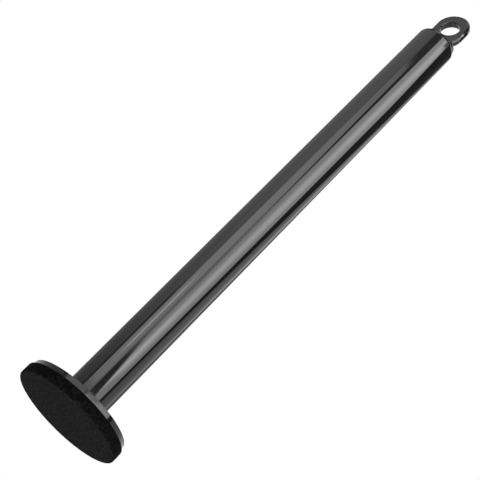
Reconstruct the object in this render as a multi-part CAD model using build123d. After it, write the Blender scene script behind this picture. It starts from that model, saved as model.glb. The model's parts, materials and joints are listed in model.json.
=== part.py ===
from build123d import *
import math
import os

# Weight loading pin: a round bar standing on a padded base plate, with a lifting eye welded on its end.
# Sizes are in millimetres. Z runs up the bar, X across the flat of the eye, and the origin is the middle
# of the pad's under face.

# Foot pad: a soft disc under the base plate, a little wider than it
pad_diameter = 64.5
pad_thickness = 6.0
pad_edge = 0.6

# Base plate: the stop that the loaded weights rest on
plate_diameter = 61.9
plate_thickness = 3.2
plate_edge = 0.4

# Post: the round bar that the weights slide over, bevelled at its foot for the weld
post_diameter = 25.0
post_length = 319.2
post_end_edge = 3.0
post_foot_bevel = 3.5

# Eye lug: an oval plate cut flat at its heel, heights measured from the end of the post
lug_radius = 10.7
crown_height = 16.1
heel_height = 9.4
lug_thickness = 4.4
lug_edge = 0.8
lug_offset = 0.7
eye_diameter = 12.4
eye_height = 13.5
eye_edge = 0.6

# Weld beads: leg is a bead's reach from the piece it surrounds, crown how far its face swells
base_weld_leg = 3.5
base_weld_crown = 0.35
lug_weld_leg = 3.0
lug_weld_crown = 0.35

plate_bottom = pad_thickness
plate_top = plate_bottom + plate_thickness
post_radius = post_diameter / 2
post_top = plate_top + post_length

# The oval's width at the height where the bead ends on it
seat_width = 2 * math.sqrt(lug_radius ** 2 - (heel_height - lug_weld_leg) ** 2)


def rims(solid):
    # A turned solid's round edges, from the lowest to the highest
    return solid.edges().filter_by(GeomType.CIRCLE).sort_by(Axis.Z)


def make_foot_pad():
    pad = extrude(Circle(pad_diameter / 2), pad_thickness)
    return chamfer(rims(pad)[0], pad_edge)


def make_base_plate():
    plate = Pos(0, 0, plate_bottom) * extrude(Circle(plate_diameter / 2), plate_thickness)
    return chamfer(rims(plate), plate_edge)


def make_post():
    bar = Pos(0, 0, plate_top) * extrude(Circle(post_radius), post_length)
    bar = fillet(rims(bar)[-1], post_end_edge)
    return chamfer(rims(bar)[0], post_foot_bevel)


def lug_plane():
    # Upright plane through the bar's axis: its local x is X, its local y is Z, with 0 at the post's end
    return Plane(origin=(lug_offset, 0, post_top), x_dir=(1, 0, 0), z_dir=(0, -1, 0))


def make_eye_lug():
    # The oval is the hull of its crown's circle and its heel's, which reaches a little below the post's end
    with BuildSketch(lug_plane()) as oval:
        with Locations((0, heel_height), (0, crown_height)):
            Circle(lug_radius)
        make_hull()
    lug = extrude(oval.sketch, lug_thickness / 2, both=True)
    lug = chamfer(lug.edges().filter_by(Plane.XZ), lug_edge)
    eye = lug_plane() * Pos(0, eye_height) * extrude(Circle(eye_diameter / 2), lug_thickness, both=True)
    lug = lug - eye
    circles = lug.edges().filter_by(GeomType.CIRCLE)
    eye_rims = circles.filter_by(lambda edge: abs(edge.radius - eye_diameter / 2) < 1e-6)
    lug = chamfer(eye_rims, eye_edge)
    return split(lug, Plane(origin=(0, 0, post_top)), keep=Keep.TOP)


def bead_face(reach, rise, crown):
    # A bead's swollen face in three flats, as (reach, height) from its toe on the flat to that on the upright
    return [
        (reach, 0),
        (reach * 2 / 3 + crown, rise / 3 + crown),
        (reach / 3 + crown, rise * 2 / 3 + crown),
        (0, rise),
    ]


def make_base_weld():
    # A ring that fills the bar's bevel and swells outwards between its toes on the plate and the bar
    root = (post_radius - post_foot_bevel, plate_top)
    face = bead_face(base_weld_leg, post_foot_bevel, base_weld_crown)
    outline = [(post_radius + out, plate_top + up) for out, up in face]
    with BuildSketch(Plane.XZ) as section:
        with BuildLine():
            Polyline(root, *outline, root)
        make_face()
    return revolve(section.sketch, Axis.Z)


def weld_outline(reach, height):
    # The lug's footprint under its sides, grown by the bead's reach, with rounded corners
    width = seat_width + 2 * reach
    depth = lug_thickness + 2 * reach
    corner = min(reach + 1.5 * lug_edge, 0.49 * depth)
    return Pos(lug_offset, 0, post_top + height) * RectangleRounded(width, depth, corner)


def make_lug_weld(post, lug):
    # The bead fills the gap under the oval's sides, and the rounding of the bar's end flush with the bar
    face = bead_face(lug_weld_leg, lug_weld_leg, lug_weld_crown)
    bead = loft([weld_outline(out, up) for out, up in face], ruled=True)
    skirt = extrude(weld_outline(lug_weld_leg, 0), -post_end_edge)
    bar = Pos(0, 0, post_top - post_end_edge) * extrude(Circle(post_radius), post_end_edge + lug_weld_leg)
    blob = (bead + skirt) & bar
    return blob - post - lug


post = make_post()
eye_lug = make_eye_lug()
nodes = {
    "foot_pad": make_foot_pad(),
    "base_plate": make_base_plate(),
    "post": post,
    "eye_lug": eye_lug,
    "base_weld": make_base_weld(),
    "lug_weld": make_lug_weld(post, eye_lug),
}

os.makedirs("parts", exist_ok=True)
for name, shape in nodes.items():
    export_step(shape, f"parts/{name}.step")
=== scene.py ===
import json
import math

import bmesh
import bpy
from mathutils import Matrix, Vector, noise


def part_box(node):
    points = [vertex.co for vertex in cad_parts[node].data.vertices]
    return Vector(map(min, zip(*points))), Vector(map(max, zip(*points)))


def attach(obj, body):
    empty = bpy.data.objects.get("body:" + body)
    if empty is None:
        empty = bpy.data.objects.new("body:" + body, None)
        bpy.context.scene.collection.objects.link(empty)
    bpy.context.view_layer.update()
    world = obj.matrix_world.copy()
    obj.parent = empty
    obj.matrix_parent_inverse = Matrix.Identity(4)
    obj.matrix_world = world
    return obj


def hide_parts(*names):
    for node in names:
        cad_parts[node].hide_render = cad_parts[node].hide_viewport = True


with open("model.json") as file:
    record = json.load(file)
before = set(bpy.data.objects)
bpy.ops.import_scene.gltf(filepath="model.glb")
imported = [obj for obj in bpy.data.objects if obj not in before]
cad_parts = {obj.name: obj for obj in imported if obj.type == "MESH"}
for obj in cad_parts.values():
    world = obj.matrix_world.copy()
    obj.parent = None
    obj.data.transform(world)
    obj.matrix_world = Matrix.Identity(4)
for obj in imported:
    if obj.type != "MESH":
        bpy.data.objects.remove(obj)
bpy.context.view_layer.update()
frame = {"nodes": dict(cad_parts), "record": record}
print("frame loaded:", ", ".join(sorted(frame["nodes"])))

mm = 0.001


# Node helpers: a value may be a plain number or another node's socket
def feed(tree, socket, value):
    if isinstance(value, bpy.types.NodeSocket):
        tree.links.new(value, socket)
    else:
        socket.default_value = value


def calc(tree, operation, *values):
    node = tree.nodes.new("ShaderNodeMath")
    node.operation = operation
    for socket, value in zip(node.inputs, values):
        feed(tree, socket, value)
    return node.outputs[0]


def fade(tree, value, start, end, low=0.0, high=1.0):
    # goes softly from low to high as value goes from start to end
    node = tree.nodes.new("ShaderNodeMapRange")
    node.interpolation_type = "SMOOTHSTEP"
    for socket, given in zip(node.inputs, (value, start, end, low, high)):
        feed(tree, socket, given)
    return node.outputs[0]


def blend(tree, factor, first, second):
    node = tree.nodes.new("ShaderNodeMix")
    node.data_type = "FLOAT"
    feed(tree, node.inputs[0], factor)
    feed(tree, node.inputs[2], first)
    feed(tree, node.inputs[3], second)
    return node.outputs[0]


# Camera: below the base plate, rolled so that the bar runs up to the right
cameraSetup = {
    "place": (379.67 * mm, -501.22 * mm, -166.17 * mm),
    "azimuth": 37.223,  # degrees, 0 looks along +Y
    "elevation": -25.857,
    "roll": 44.768,
    "lens": 95.42,
    "sensor": 36.0,
}


def makeCamera(setup):
    azimuth, elevation, roll = (math.radians(setup[key]) for key in ("azimuth", "elevation", "roll"))
    level = math.cos(elevation)
    back = Vector((math.sin(azimuth) * level, -math.cos(azimuth) * level, math.sin(elevation)))
    flatRight = Vector((math.cos(azimuth), math.sin(azimuth), 0))
    flatUp = back.cross(flatRight)
    right = flatRight * math.cos(roll) + flatUp * math.sin(roll)
    up = back.cross(right)
    lens = bpy.data.cameras.new("camera")
    lens.lens = setup["lens"]
    lens.sensor_width = setup["sensor"]
    camera = bpy.data.objects.new("camera", lens)
    bpy.context.scene.collection.objects.link(camera)
    turn = Matrix((right, up, back)).transposed().to_4x4()
    camera.matrix_world = Matrix.Translation(setup["place"]) @ turn
    bpy.context.scene.camera = camera


makeCamera(cameraSetup)
bpy.context.scene.view_settings.view_transform = "Standard"
print("camera placed")


# Studio: soft boxes and dark gaps by direction, as the gloss paint shows them. A later panel covers an
# earlier one. left and right are degrees round the bar from the camera's side, to the picture's right;
# bottom and top are degrees above the horizon. An edge or a level of several values is the one at the
# lowest elevation, its change per degree of height and the bend of that change.
studio = {
    "lowest": 16.5,  # degrees above the horizon, where the changes are counted from
    "heights": (-3.0, 24.0),  # beyond these the edges and levels no longer change
    "room": 0.31,
    "underside": 0.78,
    "undersideEnds": (-30, -10),  # degrees between which the underside's light passes into the room's
    "backdrop": 1.0,
    "panels": {
        "farWall": dict(
            left=-125, right=-58, blur=(60, 30),
            bottom=-30, top=40.2, endBlur=0.3, level=(0.52, 0.045, -0.0014),
        ),
        # stripes for the views from behind, which also light the pad's face a little
        "backLeft": dict(
            left=-166, right=-136, blur=(8, 8),
            bottom=-62, top=0, endBlur=12, level=2.6,
        ),
        "backRight": dict(
            left=136, right=152, blur=(8, 8),
            bottom=-62, top=0, endBlur=12, level=1.7,
        ),
        # low glows in the two ends of the plate's rim
        "leftGlow": dict(
            left=-173, right=-110, blur=(10, 60),
            bottom=-10, top=16.2, endBlur=0.12, level=1.0,
        ),
        "rightGlow": dict(
            left=118, right=170, blur=(10, 10),
            bottom=-10, top=16.2, endBlur=0.12, level=1.2,
        ),
        # the stripes along the bar
        "leftWall": dict(
            left=-82, right=(-54, 0, 0.02), blur=(40, 8),
            bottom=-30, top=40.2, endBlur=0.3, level=(0.65, 0.1, -0.0035),
        ),
        "leftGap": dict(
            left=-64, right=-54, blur=(4, 4),
            bottom=-40, top=22.5, endBlur=2, level=0.3,
        ),
        "rightBox": dict(
            left=50, right=(128, 0.2, 0.06), blur=(6, 12),
            bottom=-30, top=48, endBlur=8, level=(1.1, 0.05, -0.0032),
        ),
        "rightCore": dict(
            left=117, right=(127, 0.2, 0.06), blur=(10, 10),
            bottom=-30, top=36, endBlur=4, level=(1.5, 0.12, -0.0085),
        ),
        "flag": dict(
            left=44, right=(68, 0.42, 0.145), blur=(4, 5),
            bottom=-40, top=44, endBlur=2, level=0.15,
        ),
        "leftBox": dict(
            left=(-53, 0, 0.02), right=-4, blur=(8, 6),
            bottom=16.3, top=44, endBlur=2, level=(3.0, 0.15, -0.01),
        ),
        "keyBox": dict(
            left=-4, right=(54.3, 0.78), blur=(8, 6),
            bottom=-30, top=39.22, endBlur=0.14, level=(3.5, 0.05),
        ),
        "keyCore": dict(
            left=(11, 0.6), right=(37, 0.6), blur=(22, 22),
            bottom=17.8, top=39, endBlur=1.4, level=(7.0, 0.02),
        ),
        "faintGap": dict(
            left=-16, right=-4, blur=(6, 6),
            bottom=-30, top=28, endBlur=6, level=2.2,
        ),
        "gap": dict(
            left=(-4.4, -0.66), right=(-20.3, 0.94), blur=(3, 3),
            bottom=26, top=44, endBlur=2, level=0.35,
        ),
        # the bar's rounded end and the eye
        "upperCard": dict(
            left=-42, right=-4, blur=(6, 4),
            bottom=36.7, top=44, endBlur=0.8, level=0.4,
        ),
        "topCorner": dict(
            left=(143.4, -4), right=90, blur=(4, 10),
            bottom=34, top=75, endBlur=2, level=0.15,
        ),
        "roundCorner": dict(
            left=36, right=80, blur=(16, 10),
            bottom=38.3, top=38.75, endBlur=0.2, level=0.2,
        ),
        "keyTop": dict(
            left=-8, right=62, blur=(8, 8),
            bottom=38.75, top=39.22, endBlur=0.14, level=12,
        ),
        "sideDark": dict(
            left=86, right=132, blur=(6, 8),
            bottom=38.75, top=40.6, endBlur=0.2, level=0.08,
        ),
        "sideLight": dict(
            left=84, right=170, blur=(6, 8),
            bottom=40.6, top=75, endBlur=0.4, level=1.0,
        ),
        "farDark": dict(
            left=-180, right=-88, blur=(0.1, 16),
            bottom=41, top=80, endBlur=1, level=0.08,
        ),
        "ceiling": dict(
            left=-76, right=-34, blur=(16, 16),
            bottom=47, top=76, endBlur=4, level=2.8,
        ),
        # the bar's foot and the plate's rim
        "footCard": dict(
            left=-10.5, right=(24.5, -7.5), blur=(4, 5),
            bottom=-30, top=19.4, endBlur=2.4, level=0.3,
        ),
        "rimLeft": dict(
            left=-56, right=-2, blur=(8, 6),
            bottom=-30, top=16.24, endBlur=0.05, level=1.85,
        ),
        "rimGlow": dict(
            left=-5, right=57, blur=(6, 6),
            bottom=-30, top=16.24, endBlur=0.05, level=4.6,
        ),
        "leftLamp": dict(
            left=-36, right=-32, blur=(3, 3),
            bottom=18.8, top=23, endBlur=1.6, level=9.0,
        ),
        "keyLamp": dict(
            left=20, right=28, blur=(7, 7),
            bottom=17, top=21.5, endBlur=1.6, level=8.2,
        ),
    },
}


def valueAt(tree, values, rise):
    # an edge's place or a level at this height above the lowest elevation
    if isinstance(values, (int, float)):
        return values
    start, change, bend = (tuple(values) + (0,))[:3]
    slope = calc(tree, "MULTIPLY_ADD", rise, bend, change) if bend else change
    return calc(tree, "MULTIPLY_ADD", rise, slope, start)


def addPanel(tree, around, elevation, rise, below, panel):
    leftBlur, rightBlur = (blur / 2 for blur in panel["blur"])
    endBlur = panel["endBlur"] / 2
    fromLeft = calc(tree, "SUBTRACT", around, valueAt(tree, panel["left"], rise))
    toRight = calc(tree, "SUBTRACT", valueAt(tree, panel["right"], rise), around)
    mask = calc(
        tree, "MULTIPLY",
        fade(tree, fromLeft, -leftBlur, leftBlur), fade(tree, toRight, -rightBlur, rightBlur),
    )
    bottom, top = panel["bottom"], panel["top"]
    mask = calc(tree, "MULTIPLY", mask, fade(tree, elevation, bottom - endBlur, bottom + endBlur))
    mask = calc(tree, "MULTIPLY", mask, fade(tree, elevation, top + endBlur, top - endBlur))
    return blend(tree, mask, below, valueAt(tree, panel["level"], rise))


def makeStudio(setup):
    world = bpy.data.worlds.new("studio")
    world.use_nodes = True
    bpy.context.scene.world = world
    tree = world.node_tree
    tree.nodes.clear()
    direction = tree.nodes.new("ShaderNodeTexCoord")
    turned = tree.nodes.new("ShaderNodeVectorRotate")  # camera's side to +X, picture's right to +Y
    turned.rotation_type = "Z_AXIS"
    turned.inputs["Angle"].default_value = math.radians(90 - cameraSetup["azimuth"])
    axes = tree.nodes.new("ShaderNodeSeparateXYZ")
    tree.links.new(direction.outputs["Generated"], turned.inputs["Vector"])
    tree.links.new(turned.outputs["Vector"], axes.inputs["Vector"])
    around = calc(tree, "DEGREES", calc(tree, "ARCTAN2", axes.outputs["Y"], axes.outputs["X"]))
    elevation = calc(tree, "DEGREES", calc(tree, "ARCSINE", axes.outputs["Z"]))
    least, most = setup["heights"]
    rise = calc(tree, "SUBTRACT", elevation, setup["lowest"])
    rise = calc(tree, "MINIMUM", calc(tree, "MAXIMUM", rise, least), most)
    light = fade(tree, elevation, *setup["undersideEnds"], setup["underside"], setup["room"])
    for panel in setup["panels"].values():
        light = addPanel(tree, around, elevation, rise, light, panel)
    lit = tree.nodes.new("ShaderNodeBackground")
    tree.links.new(light, lit.inputs["Color"])
    seen = tree.nodes.new("ShaderNodeBackground")  # what the camera sees behind everything
    seen.inputs["Strength"].default_value = setup["backdrop"]
    seen.inputs["Color"].default_value = (1, 1, 1, 1)
    path = tree.nodes.new("ShaderNodeLightPath")
    choice = tree.nodes.new("ShaderNodeMixShader")
    out = tree.nodes.new("ShaderNodeOutputWorld")
    tree.links.new(path.outputs["Is Camera Ray"], choice.inputs["Fac"])
    tree.links.new(lit.outputs[0], choice.inputs[1])
    tree.links.new(seen.outputs[0], choice.inputs[2])
    tree.links.new(choice.outputs[0], out.inputs["Surface"])


makeStudio(studio)
print("studio lit with", len(studio["panels"]), "panels")


# Shared shader groups
def newGroup(name, inputs, outputs):
    group = bpy.data.node_groups.new(name, "ShaderNodeTree")
    for label, value in inputs.items():
        kind = "NodeSocketColor" if isinstance(value, tuple) else "NodeSocketFloat"
        socket = group.interface.new_socket(label, in_out="INPUT", socket_type=kind)
        socket.default_value = value
    for label, kind in outputs.items():
        group.interface.new_socket(label, in_out="OUTPUT", socket_type=kind)
    entry = group.nodes.new("NodeGroupInput")
    leave = group.nodes.new("NodeGroupOutput")
    return group, entry.outputs, leave.inputs


def noiseAt(tree, vector, scale, detail=2.0, roughness=0.5):
    node = tree.nodes.new("ShaderNodeTexNoise")
    feed(tree, node.inputs["Vector"], vector)
    feed(tree, node.inputs["Scale"], scale)
    node.inputs["Detail"].default_value = detail
    node.inputs["Roughness"].default_value = roughness
    return node.outputs["Fac"]


def objectPlace(tree):
    return tree.nodes.new("ShaderNodeTexCoord").outputs["Object"]


# Gloss paint: how its pattern is drawn. Sizes are noise scales, so a larger one is finer
paintLook = {
    "flowStretch": (1, 1, 0.35),  # drawn out along the bar
    "hazeSize": 90.0,
    "hazeDetail": 4.0,
    "hazeGrain": 0.6,
    "tintFrom": (0.3, 0.75),  # haze between which the second colour comes in
    "tintShare": 0.5,
    "tintColour": (0.0022, 0.0022, 0.0024, 1.0),
    "roughFrom": (0.35, 0.8),  # haze between which the gloss dulls
}


def makePaintGroup(look):
    # sprayed gloss: a slow flow along the bar, fine peel, and a faint haze in the gloss
    group, given, result = newGroup(
        "glossCoat",
        {
            "Colour": (0.001, 0.001, 0.0011, 1.0), "Gloss Roughness": 0.03, "Haze": 0.03,
            "Flow Size": 60.0, "Flow Depth": 0.00002, "Peel Size": 700.0, "Peel Depth": 0.0000015,
        },
        {"Colour": "NodeSocketColor", "Roughness": "NodeSocketFloat", "Height": "NodeSocketFloat"},
    )
    place = objectPlace(group)
    stretch = group.nodes.new("ShaderNodeMapping")
    stretch.inputs["Scale"].default_value = look["flowStretch"]
    group.links.new(place, stretch.inputs["Vector"])
    flow = noiseAt(group, stretch.outputs["Vector"], given["Flow Size"], 1.0)
    peel = noiseAt(group, place, given["Peel Size"], 1.0)
    haze = noiseAt(group, place, look["hazeSize"], look["hazeDetail"], look["hazeGrain"])
    shade = group.nodes.new("ShaderNodeMix")
    shade.data_type = "RGBA"
    feed(group, shade.inputs[0], fade(group, haze, *look["tintFrom"], 0.0, look["tintShare"]))
    feed(group, shade.inputs[6], given["Colour"])
    feed(group, shade.inputs[7], look["tintColour"])
    feed(group, result["Colour"], shade.outputs[2])
    dull = fade(group, haze, *look["roughFrom"])
    rough = calc(group, "MULTIPLY_ADD", dull, given["Haze"], given["Gloss Roughness"])
    feed(group, result["Roughness"], rough)
    height = calc(group, "MULTIPLY", flow, given["Flow Depth"])
    feed(group, result["Height"], calc(group, "MULTIPLY_ADD", peel, given["Peel Depth"], height))
    return group


# Foam skin: how its cells and patches are drawn. A tone is from, to, its darkest and its lightest
foamLook = {
    "cellDetail": 3.0,
    "cellGrain": 0.65,
    "patchSize": 480.0,
    "patchDetail": 2.0,
    "patchGrain": 0.5,
    "ragged": 3.0 * mm,  # how far the lighter face's edge wanders in all
    "edgeBlur": 3.0 * mm,
    "cellTone": (0.35, 0.7, 0.5, 1.6),
    "patchTone": (0.32, 0.68, 0.55, 1.45),
    "roughTone": (0.2, 0.8, 0.8, 0.98),
}


def makeFoamGroup(look):
    # matt cellular pad: fine cells, and a mottled face where it meets the floor, painted lighter as
    # light from below, while the side is painted darker as shade
    group, given, result = newGroup(
        "foamSkin",
        {
            # one foam in a lit and a shaded copy: the side's darker colour is painted shade, the face's
            # lighter colour painted light from below
            "Shaded Side Colour": (0.0021, 0.0021, 0.0021, 1.0), "Lit Face Colour": (0.0088, 0.0088, 0.0088, 1.0),
            "Cell Size": 1100.0, "Cell Depth": 0.00006, "Face Height": 0.0012, "Face Reach": 0.0332,
        },
        {"Colour": "NodeSocketColor", "Roughness": "NodeSocketFloat", "Height": "NodeSocketFloat"},
    )
    place = objectPlace(group)
    axes = group.nodes.new("ShaderNodeSeparateXYZ")
    group.links.new(place, axes.inputs[0])
    cells = noiseAt(group, place, given["Cell Size"], look["cellDetail"], look["cellGrain"])
    patches = noiseAt(group, place, look["patchSize"], look["patchDetail"], look["patchGrain"])
    # the edge of the face's painted light wanders with the patches and stops short of the rim, so an
    # outer ring keeps the side's painted-shade colour
    litEdgeWander = calc(group, "MULTIPLY_ADD", patches, -look["ragged"], look["ragged"] / 2)
    outX = calc(group, "POWER", axes.outputs["X"], 2.0)
    reach = calc(group, "SQRT", calc(group, "ADD", outX, calc(group, "POWER", axes.outputs["Y"], 2.0)))
    inward = calc(group, "SUBTRACT", given["Face Reach"], calc(group, "ADD", reach, litEdgeWander))
    litFaceMask = fade(group, axes.outputs["Z"], given["Face Height"], 0.0)
    litFaceMask = calc(group, "MULTIPLY", litFaceMask, fade(group, inward, 0.0, look["edgeBlur"]))
    cellTone = fade(group, cells, *look["cellTone"])
    speck = calc(group, "MULTIPLY", cellTone, fade(group, patches, *look["patchTone"]))
    # the face takes the lighter painted-light colour; the side and the face's outer ring take the
    # darker painted-shade colour
    tone = group.nodes.new("ShaderNodeMix")
    tone.data_type = "RGBA"
    feed(group, tone.inputs[0], litFaceMask)
    feed(group, tone.inputs[6], given["Shaded Side Colour"])
    feed(group, tone.inputs[7], given["Lit Face Colour"])
    tint = group.nodes.new("ShaderNodeVectorMath")
    tint.operation = "SCALE"
    group.links.new(tone.outputs[2], tint.inputs[0])
    feed(group, tint.inputs["Scale"], speck)
    feed(group, result["Colour"], tint.outputs[0])
    feed(group, result["Roughness"], fade(group, cells, *look["roughTone"]))
    feed(group, result["Height"], calc(group, "MULTIPLY", cells, given["Cell Depth"]))
    return group


glossCoat = makePaintGroup(paintLook)
foamSkin = makeFoamGroup(foamLook)


def finishMaterial(name, group, values, shader):
    # one group's colour, roughness and height into a Principled shader
    material = bpy.data.materials.new(name)
    material.use_nodes = True
    tree = material.node_tree
    surface = tree.nodes["Principled BSDF"]
    for label, value in shader.items():
        surface.inputs[label].default_value = value
    coat = tree.nodes.new("ShaderNodeGroup")
    coat.node_tree = group
    for label, value in values.items():
        coat.inputs[label].default_value = value
    bump = tree.nodes.new("ShaderNodeBump")  # the groups' heights are in metres
    bump.inputs["Strength"].default_value = 1.0
    bump.inputs["Distance"].default_value = 1.0
    tree.links.new(coat.outputs["Colour"], surface.inputs["Base Color"])
    tree.links.new(coat.outputs["Roughness"], surface.inputs["Roughness"])
    tree.links.new(coat.outputs["Height"], bump.inputs["Height"])
    tree.links.new(bump.outputs["Normal"], surface.inputs["Normal"])
    return material


barPaint = finishMaterial("barPaint", glossCoat, {}, {"IOR": 1.5})
weldPaint = finishMaterial(
    "weldPaint", glossCoat,
    {"Gloss Roughness": 0.07, "Haze": 0.06, "Peel Size": 900.0, "Peel Depth": 0.000006},
    {"IOR": 1.5},
)
padFoam = finishMaterial("padFoam", foamSkin, {}, {"IOR": 1.4, "Specular IOR Level": 0.03})
print("materials made")


# Pieces
creaseAngle = 40  # degrees between two faces, past which their edge stays sharp
turnedMerge = 0.001 * mm
beadMerge = 0.005 * mm


def keepPiece(name, shape, material, node):
    bmesh.ops.recalc_face_normals(shape, faces=shape.faces)
    mesh = bpy.data.meshes.new(name)
    shape.to_mesh(mesh)
    shape.free()
    mesh.shade_smooth()
    mesh.set_sharp_from_angle(angle=math.radians(creaseAngle))
    mesh.materials.append(material)
    piece = bpy.data.objects.new(name, mesh)
    bpy.context.scene.collection.objects.link(piece)
    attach(piece, "root")
    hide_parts(node)
    print("piece", name, "with", len(mesh.polygons), "faces")


def arc(centre, radius, start, end, count):
    # points on an arc in a turned part's section, angles in degrees from the outward direction
    steps = (math.radians(start + (end - start) * i / count) for i in range(count + 1))
    return [(centre[0] + radius * math.cos(a), centre[1] + radius * math.sin(a)) for a in steps]


def turned(section, steps):
    # spins a section of (radius, height) points round the bar's axis
    shape = bmesh.new()
    verts = [shape.verts.new((radius, 0, height)) for radius, height in section]
    edges = [shape.edges.new(pair) for pair in zip(verts, verts[1:])]
    bmesh.ops.spin(
        shape, geom=verts + edges, cent=(0, 0, 0), axis=(0, 0, 1),
        angle=math.tau, steps=steps, use_merge=True,
    )
    bmesh.ops.remove_doubles(shape, verts=shape.verts, dist=turnedMerge)
    return shape


def radiusOf(node):
    low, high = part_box(node)
    return (high[0] - low[0]) / 2


def heightsOf(node):
    low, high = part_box(node)
    return low[2], high[2]


# Foot pad: firm disc with eased edges and a slightly uneven skin
pad = {
    "lowerEdge": 0.6 * mm,
    "upperEdge": 0.35 * mm,
    "steps": 288,
    "rings": 60,  # on the lower face
    "lowerSteps": 6,
    "wallSteps": 8,
    "upperSteps": 5,
    "upperRing": 0.9,  # share of the radius
    "unevenness": 0.06 * mm,
    "unevenSize": 700.0,
    "sink": 0.5,  # share that keeps most of the unevenness inside the radius
}


def makePad(values):
    radius, (bottom, top) = radiusOf("foot_pad"), heightsOf("foot_pad")
    low, high = values["lowerEdge"], values["upperEdge"]
    flat = radius - low
    section = [(flat * i / values["rings"], bottom) for i in range(values["rings"])]
    section += arc((radius - low, bottom + low), low, -90, 0, values["lowerSteps"])
    wall, rows = top - high - bottom - low, values["wallSteps"]
    section += [(radius, bottom + low + wall * i / rows) for i in range(1, rows)]
    section += arc((radius - high, top - high), high, 0, 90, values["upperSteps"])
    section += [(radius * values["upperRing"], top), (0, top)]
    shape = turned(section, values["steps"])
    for vert in shape.verts:
        if vert.co.z < top - high / 2 and vert.co.z > bottom + low / 4:  # both faces stay flat
            swell = noise.noise(vert.co * values["unevenSize"]) - values["sink"]
            out = Vector((vert.co.x, vert.co.y, 0)).normalized()
            vert.co += out * swell * values["unevenness"]
    keepPiece("footPad", shape, padFoam, "foot_pad")


makePad(pad)

# Base plate: thin disc, both rims eased
plate = {
    "lowerEdge": 0.4 * mm,
    "upperEdge": 0.25 * mm,
    "edgeSteps": 6,
    "support": 0.05 * mm,  # from each rounding to the loop that keeps the flat beside it flat
    "steps": 288,
}


def makePlate(values):
    radius, (bottom, top) = radiusOf("base_plate"), heightsOf("base_plate")
    low, high, support = values["lowerEdge"], values["upperEdge"], values["support"]
    count = values["edgeSteps"]
    section = [(0, bottom), (radius - low - support, bottom)]
    section += arc((radius - low, bottom + low), low, -90, 0, count)
    section += [(radius, bottom + low + support), (radius, top - high - support)]
    section += arc((radius - high, top - high), high, 0, 90, count)
    section += [(radius - high - support, top), (0, top)]
    shape = turned(section, values["steps"])
    keepPiece("basePlate", shape, barPaint, "base_plate")


makePlate(plate)

# Post: one bar, bevelled at the foot for its weld, rounded at the end
post = {
    "footBevel": 3.5 * mm,
    "endEdge": 3.0 * mm,
    "endSteps": 12,
    "support": 0.1 * mm,
    "steps": 288,
}


def makePost(values):
    radius, (bottom, top) = radiusOf("post"), heightsOf("post")
    bevel, edge, support = values["footBevel"], values["endEdge"], values["support"]
    section = [(0, bottom), (radius - bevel, bottom), (radius, bottom + bevel)]
    section += [(radius, bottom + bevel + support), (radius, top - edge - support)]
    section += arc((radius - edge, top - edge), edge, 0, 90, values["endSteps"])
    section += [(radius - edge - support, top), (0, top)]
    shape = turned(section, values["steps"])
    keepPiece("postBar", shape, barPaint, "post")


makePost(post)

# Eye lug: oval plate cut flat at its heel. Its outer rims are bevelled flat and the bevels' own corners
# rounded, and the hole's rims are rounded
eye = {
    "heel": 9.4 * mm,  # height of the lower arc's centre above the bar's end
    "edge": 0.95 * mm,
    "holeEdge": 0.55 * mm,
    "arcSteps": 96,
    "holeSteps": 128,
    "soften": 0.42 * mm,  # rounding of each bevel's own corners
    "softSteps": 4,
    "support": 0.05 * mm,
    "rimAngle": 60,  # degrees: sharper edges are the plate's rims
    "cornerAngles": (35, 55),  # degrees: the corners that the bevel leaves
    "holeZone": 1.05,  # times the hole's radius
    "faceSlope": 0.999,  # a normal's share along the hole: more is a face, less than the next a wall
    "wallSlope": 0.02,
}


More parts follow.
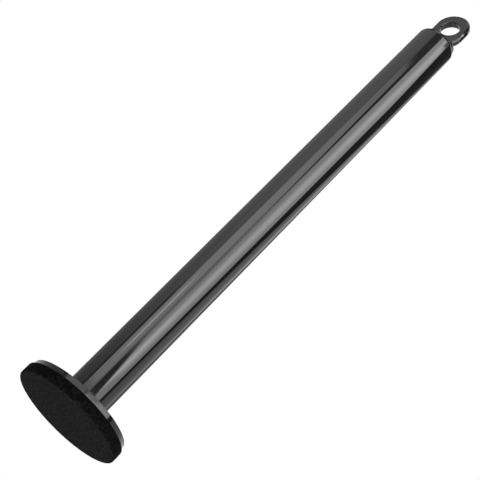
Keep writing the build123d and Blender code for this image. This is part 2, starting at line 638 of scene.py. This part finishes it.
def makeEye(values):
    low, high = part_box("eye_lug")
    bore = next(mount for mount in frame["record"]["mounts"] if mount["name"] == "eye")
    radius = (high[0] - low[0]) / 2
    middle, foot, half = (low[0] + high[0]) / 2, low[2], (high[1] - low[1]) / 2
    holeHeight, holeRadius = bore["pos_m"][2], bore["dims"]["r_mm"] * mm
    shape = bmesh.new()
    rim = []
    for height, start in ((foot + values["heel"], math.pi), (high[2] - radius, 0.0)):
        for i in range(values["arcSteps"] + 1):
            angle = start + math.pi * i / values["arcSteps"]
            rim.append((middle + radius * math.cos(angle), -half, height + radius * math.sin(angle)))
    verts = [shape.verts.new(point) for point in rim]
    outer = [shape.edges.new(pair) for pair in zip(verts, verts[1:] + verts[:1])]
    hole = bmesh.ops.create_circle(
        shape, segments=values["holeSteps"], radius=holeRadius,
        matrix=Matrix.Translation((middle, -half, holeHeight)) @ Matrix.Rotation(math.pi / 2, 4, "X"),
    )
    inner = list({edge for vert in hole["verts"] for edge in vert.link_edges})
    filled = bmesh.ops.triangle_fill(shape, edges=outer + inner, use_beauty=True, normal=(0, -1, 0))
    front = [face for face in filled["geom"] if isinstance(face, bmesh.types.BMFace)]
    back = bmesh.ops.extrude_face_region(shape, geom=front, use_keep_orig=True)["geom"]
    moved = [vert for vert in back if isinstance(vert, bmesh.types.BMVert)]
    bmesh.ops.translate(shape, verts=moved, vec=(0, 2 * half, 0))
    bmesh.ops.recalc_face_normals(shape, faces=shape.faces)
    holeRims, outerRims = [], []
    for edge in shape.edges:
        if edge.is_manifold and edge.calc_face_angle() > math.radians(values["rimAngle"]):
            point = (edge.verts[0].co + edge.verts[1].co) / 2
            reach = math.hypot(point.x - middle, point.z - holeHeight)
            (holeRims if reach < holeRadius * values["holeZone"] else outerRims).append(edge)
    bmesh.ops.bevel(
        shape, geom=outerRims, offset=values["edge"], offset_type="OFFSET", affect="EDGES",
        segments=1, profile=0.5, material=-1,
    )
    least, most = (math.radians(angle) for angle in values["cornerAngles"])
    corners = [
        edge for edge in shape.edges
        if edge.is_manifold and least < edge.calc_face_angle() < most
    ]
    bmesh.ops.bevel(
        shape, geom=corners, offset=values["soften"], offset_type="OFFSET", affect="EDGES",
        segments=values["softSteps"], profile=0.5, material=-1,
    )
    holeRims = [edge for edge in holeRims if edge.is_valid]
    bmesh.ops.bevel(
        shape, geom=holeRims, offset=values["holeEdge"], offset_type="OFFSET", affect="EDGES",
        segments=values["softSteps"], profile=0.5, material=-1,
    )
    flat = [
        face for face in shape.faces
        if abs(face.normal.y) > values["faceSlope"] or abs(face.normal.y) < values["wallSlope"]
    ]
    bmesh.ops.inset_region(shape, faces=flat, thickness=values["support"], use_even_offset=True)
    everything = shape.verts[:] + shape.edges[:] + shape.faces[:]
    cut = bmesh.ops.bisect_plane(
        shape, geom=everything, plane_co=(0, 0, foot), plane_no=(0, 0, 1), clear_inner=True,
    )
    heelEdges = [item for item in cut["geom_cut"] if isinstance(item, bmesh.types.BMEdge)]
    bmesh.ops.edgeloop_fill(shape, edges=heelEdges)
    keepPiece("eyeLug", shape, barPaint, "eye_lug")


makeEye(eye)

# Weld beads: a closed section carried round its path, with ripples where the bead cooled
rippleLook = {
    "lean": 0.7,  # share of a ripple's swell that goes outwards, and as much again upwards
    "lag": 0.35,  # how far a ripple's middle stays behind, in ripples
    "jitter": 0.45,
    "jitterSize": 300,
    "trough": 0.6,
}


def sweptBead(path, section, ripple):
    # path gives (point, outward direction, distance along) for each station of a closed route
    shape = bmesh.new()
    verts = [shape.verts.new((0, 0, 0)) for _ in section]
    edges = [shape.edges.new(pair) for pair in zip(verts, verts[1:] + verts[:1])]
    for station, (place, outward, along) in enumerate(path):
        if station:
            made = bmesh.ops.extrude_edge_only(shape, edges=edges)["geom"]
            edges = [item for item in made if isinstance(item, bmesh.types.BMEdge)]
            follow = {}
            for item in made:
                if isinstance(item, bmesh.types.BMFace):
                    for edge in item.edges:
                        ends = set(edge.verts)
                        old = ends & set(verts)
                        if len(old) == 1:
                            follow[old.pop()] = (ends - set(verts)).pop()
            verts = [follow[vert] for vert in verts]
        for vert, (reach, height, share) in zip(verts, section):
            swell = ripple["depth"] * share * rippleAt(along, share, ripple) * rippleLook["lean"]
            vert.co = place + outward * (reach + swell) + Vector((0, 0, height + swell))
    bmesh.ops.remove_doubles(shape, verts=shape.verts, dist=beadMerge)
    return shape


def rippleAt(along, share, ripple):
    # each ripple is a crescent: its middle lags behind its ends
    shift = noise.noise(Vector((along * rippleLook["jitterSize"], share, 0)))
    phase = along / ripple["pitch"] + rippleLook["lag"] * share + rippleLook["jitter"] * shift
    return abs(math.sin(math.pi * phase)) - rippleLook["trough"]


def beadSection(toe, rise, crown, count, root):
    # from the toe on the flat up the swollen face to the toe on the upright, then the root behind
    points = []
    for i in range(count + 1):
        t = i / count
        bulge = 4 * t * (1 - t)  # 0 at both toes, 1 between them
        points.append((toe * (1 - t) + crown * bulge, rise * t + crown * bulge, bulge))
    return points + [(reach, height, 0.0) for reach, height in root]


baseWeld = {
    "crown": 0.38 * mm,
    "count": 10,
    "steps": 720,
    "pitch": 1.7 * mm,
    "depth": 0.16 * mm,
    "rootGap": 0.01 * mm,
}


def makeBaseWeld(values):
    bar, (bottom, top) = radiusOf("post"), heightsOf("base_weld")
    toe = radiusOf("base_weld") - bar
    ripples = round(math.tau * bar / values["pitch"])  # a whole number, so that the bead closes
    path = []
    for i in range(values["steps"] + 1):
        angle = math.tau * i / values["steps"]
        outward = Vector((math.cos(angle), math.sin(angle), 0))
        along = i / values["steps"] * ripples * values["pitch"]
        path.append((outward * bar + Vector((0, 0, bottom)), outward, along))
    root = [(-post["footBevel"] + values["rootGap"], values["rootGap"])]
    section = beadSection(toe, top - bottom, values["crown"], values["count"], root)
    shape = sweptBead(path, section, values)
    keepPiece("baseWeld", shape, weldPaint, "base_weld")


makeBaseWeld(baseWeld)

lugWeld = {
    "reach": 2.95 * mm,
    "rise": 2.95 * mm,
    "crown": 0.35 * mm,
    "count": 12,
    "corner": 1.2 * mm,
    "cornerSteps": 12,
    "spacing": 0.12 * mm,
    "pitch": 1.9 * mm,
    "depth": 0.26 * mm,
    "seat": 0.05 * mm,  # sunk into the bar's end, and kept inside its radius
}


def lugRoute(values):
    # stations round the oval's width where the bead ends on it: straight runs, tight corners
    low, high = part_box("eye_lug")
    middle, foot, half = (low[0] + high[0]) / 2, low[2], (high[1] - low[1]) / 2
    corner, radius = values["corner"], (high[0] - low[0]) / 2
    seatWidth = 2 * math.sqrt(radius ** 2 - (eye["heel"] - values["rise"]) ** 2)
    acrossX, acrossY = seatWidth / 2 - corner, half - corner
    signs = ((1, 1), (-1, 1), (-1, -1), (1, -1))
    hubs = [Vector((middle + signX * acrossX, signY * acrossY, foot)) for signX, signY in signs]
    route, steps = [], values["cornerSteps"]
    for quarter, hub in enumerate(hubs):
        for i in range(steps + 1):
            angle = math.pi / 2 * (quarter + i / steps)
            outward = Vector((math.cos(angle), math.sin(angle), 0))
            route.append((hub + outward * corner, outward))
        nextHub = hubs[(quarter + 1) % len(hubs)]
        pieces = round((nextHub - hub).length / values["spacing"])
        for i in range(1, pieces):
            route.append((hub.lerp(nextHub, i / pieces) + outward * corner, outward))
    route.append(route[0])
    path, before, along = [], None, 0.0
    for place, outward in route:
        outer = place + outward * values["reach"] / 2
        along += (outer - before).length if before else 0.0
        before = outer
        path.append((place, outward, along))
    whole = round(along / values["pitch"]) * values["pitch"]  # a whole number of ripples
    return [(place, outward, distance * whole / along) for place, outward, distance in path]


def makeLugWeld(values):
    bar, barTop = radiusOf("post"), heightsOf("post")[1]
    edge, root = post["endEdge"], [(0.0, 0.0)]
    section = beadSection(values["reach"], values["rise"], values["crown"], values["count"], root)
    shape = sweptBead(lugRoute(values), section, values)
    limit = bar - values["seat"]
    for vert in shape.verts:
        spread = math.hypot(vert.co.x, vert.co.y)
        if spread > limit:
            vert.co.x *= limit / spread
            vert.co.y *= limit / spread
            spread = limit
        # the lower a point of the bead, the more of the rounding's drop it follows
        past = max(spread - (bar - edge), 0.0)
        drop = edge - math.sqrt(max(edge * edge - past * past, 0.0))
        share = 1 - min((vert.co.z - barTop) / values["rise"], 1.0)
        vert.co.z -= (drop + values["seat"]) * max(share, 0.0)
    keepPiece("lugWeld", shape, weldPaint, "lug_weld")


makeLugWeld(lugWeld)


# Floor: pale, seen only from above, because the camera looks up past it
floor = {
    "radius": 1.6,
    "solid": 0.45,  # metres within which it doesn't fade
    "segments": 96,
    "drop": 0.05 * mm,
    "shade": 0.86,
    "roughness": 0.9,
    "gloss": 0.2,
}


def makeFloor(values):
    shape = bmesh.new()
    bmesh.ops.create_circle(shape, cap_ends=True, segments=values["segments"], radius=values["radius"])
    bmesh.ops.translate(shape, verts=shape.verts, vec=(0, 0, -values["drop"]))
    mesh = bpy.data.meshes.new("floor")
    shape.to_mesh(mesh)
    shape.free()
    material = bpy.data.materials.new("paleFloor")
    material.use_nodes = True
    tree = material.node_tree
    surface = tree.nodes["Principled BSDF"]
    surface.inputs["Base Color"].default_value = (values["shade"],) * 3 + (1,)
    surface.inputs["Roughness"].default_value = values["roughness"]
    surface.inputs["Specular IOR Level"].default_value = values["gloss"]
    clear = tree.nodes.new("ShaderNodeBsdfTransparent")
    choice = tree.nodes.new("ShaderNodeMixShader")
    path = tree.nodes.new("ShaderNodeLightPath")
    side = tree.nodes.new("ShaderNodeNewGeometry")
    spread = tree.nodes.new("ShaderNodeVectorMath")
    spread.operation = "LENGTH"
    tree.links.new(objectPlace(tree), spread.inputs[0])
    near = fade(tree, spread.outputs["Value"], values["radius"], values["solid"])
    above = calc(tree, "SUBTRACT", 1.0, side.outputs["Backfacing"])
    shown = calc(tree, "MULTIPLY", calc(tree, "MULTIPLY", near, above), path.outputs["Is Camera Ray"])
    tree.links.new(shown, choice.inputs["Fac"])
    tree.links.new(clear.outputs[0], choice.inputs[1])
    tree.links.new(surface.outputs[0], choice.inputs[2])
    tree.links.new(choice.outputs[0], tree.nodes["Material Output"].inputs["Surface"])
    mesh.materials.append(material)
    plane = bpy.data.objects.new("floor", mesh)
    bpy.context.scene.collection.objects.link(plane)


makeFloor(floor)
print("floor laid")
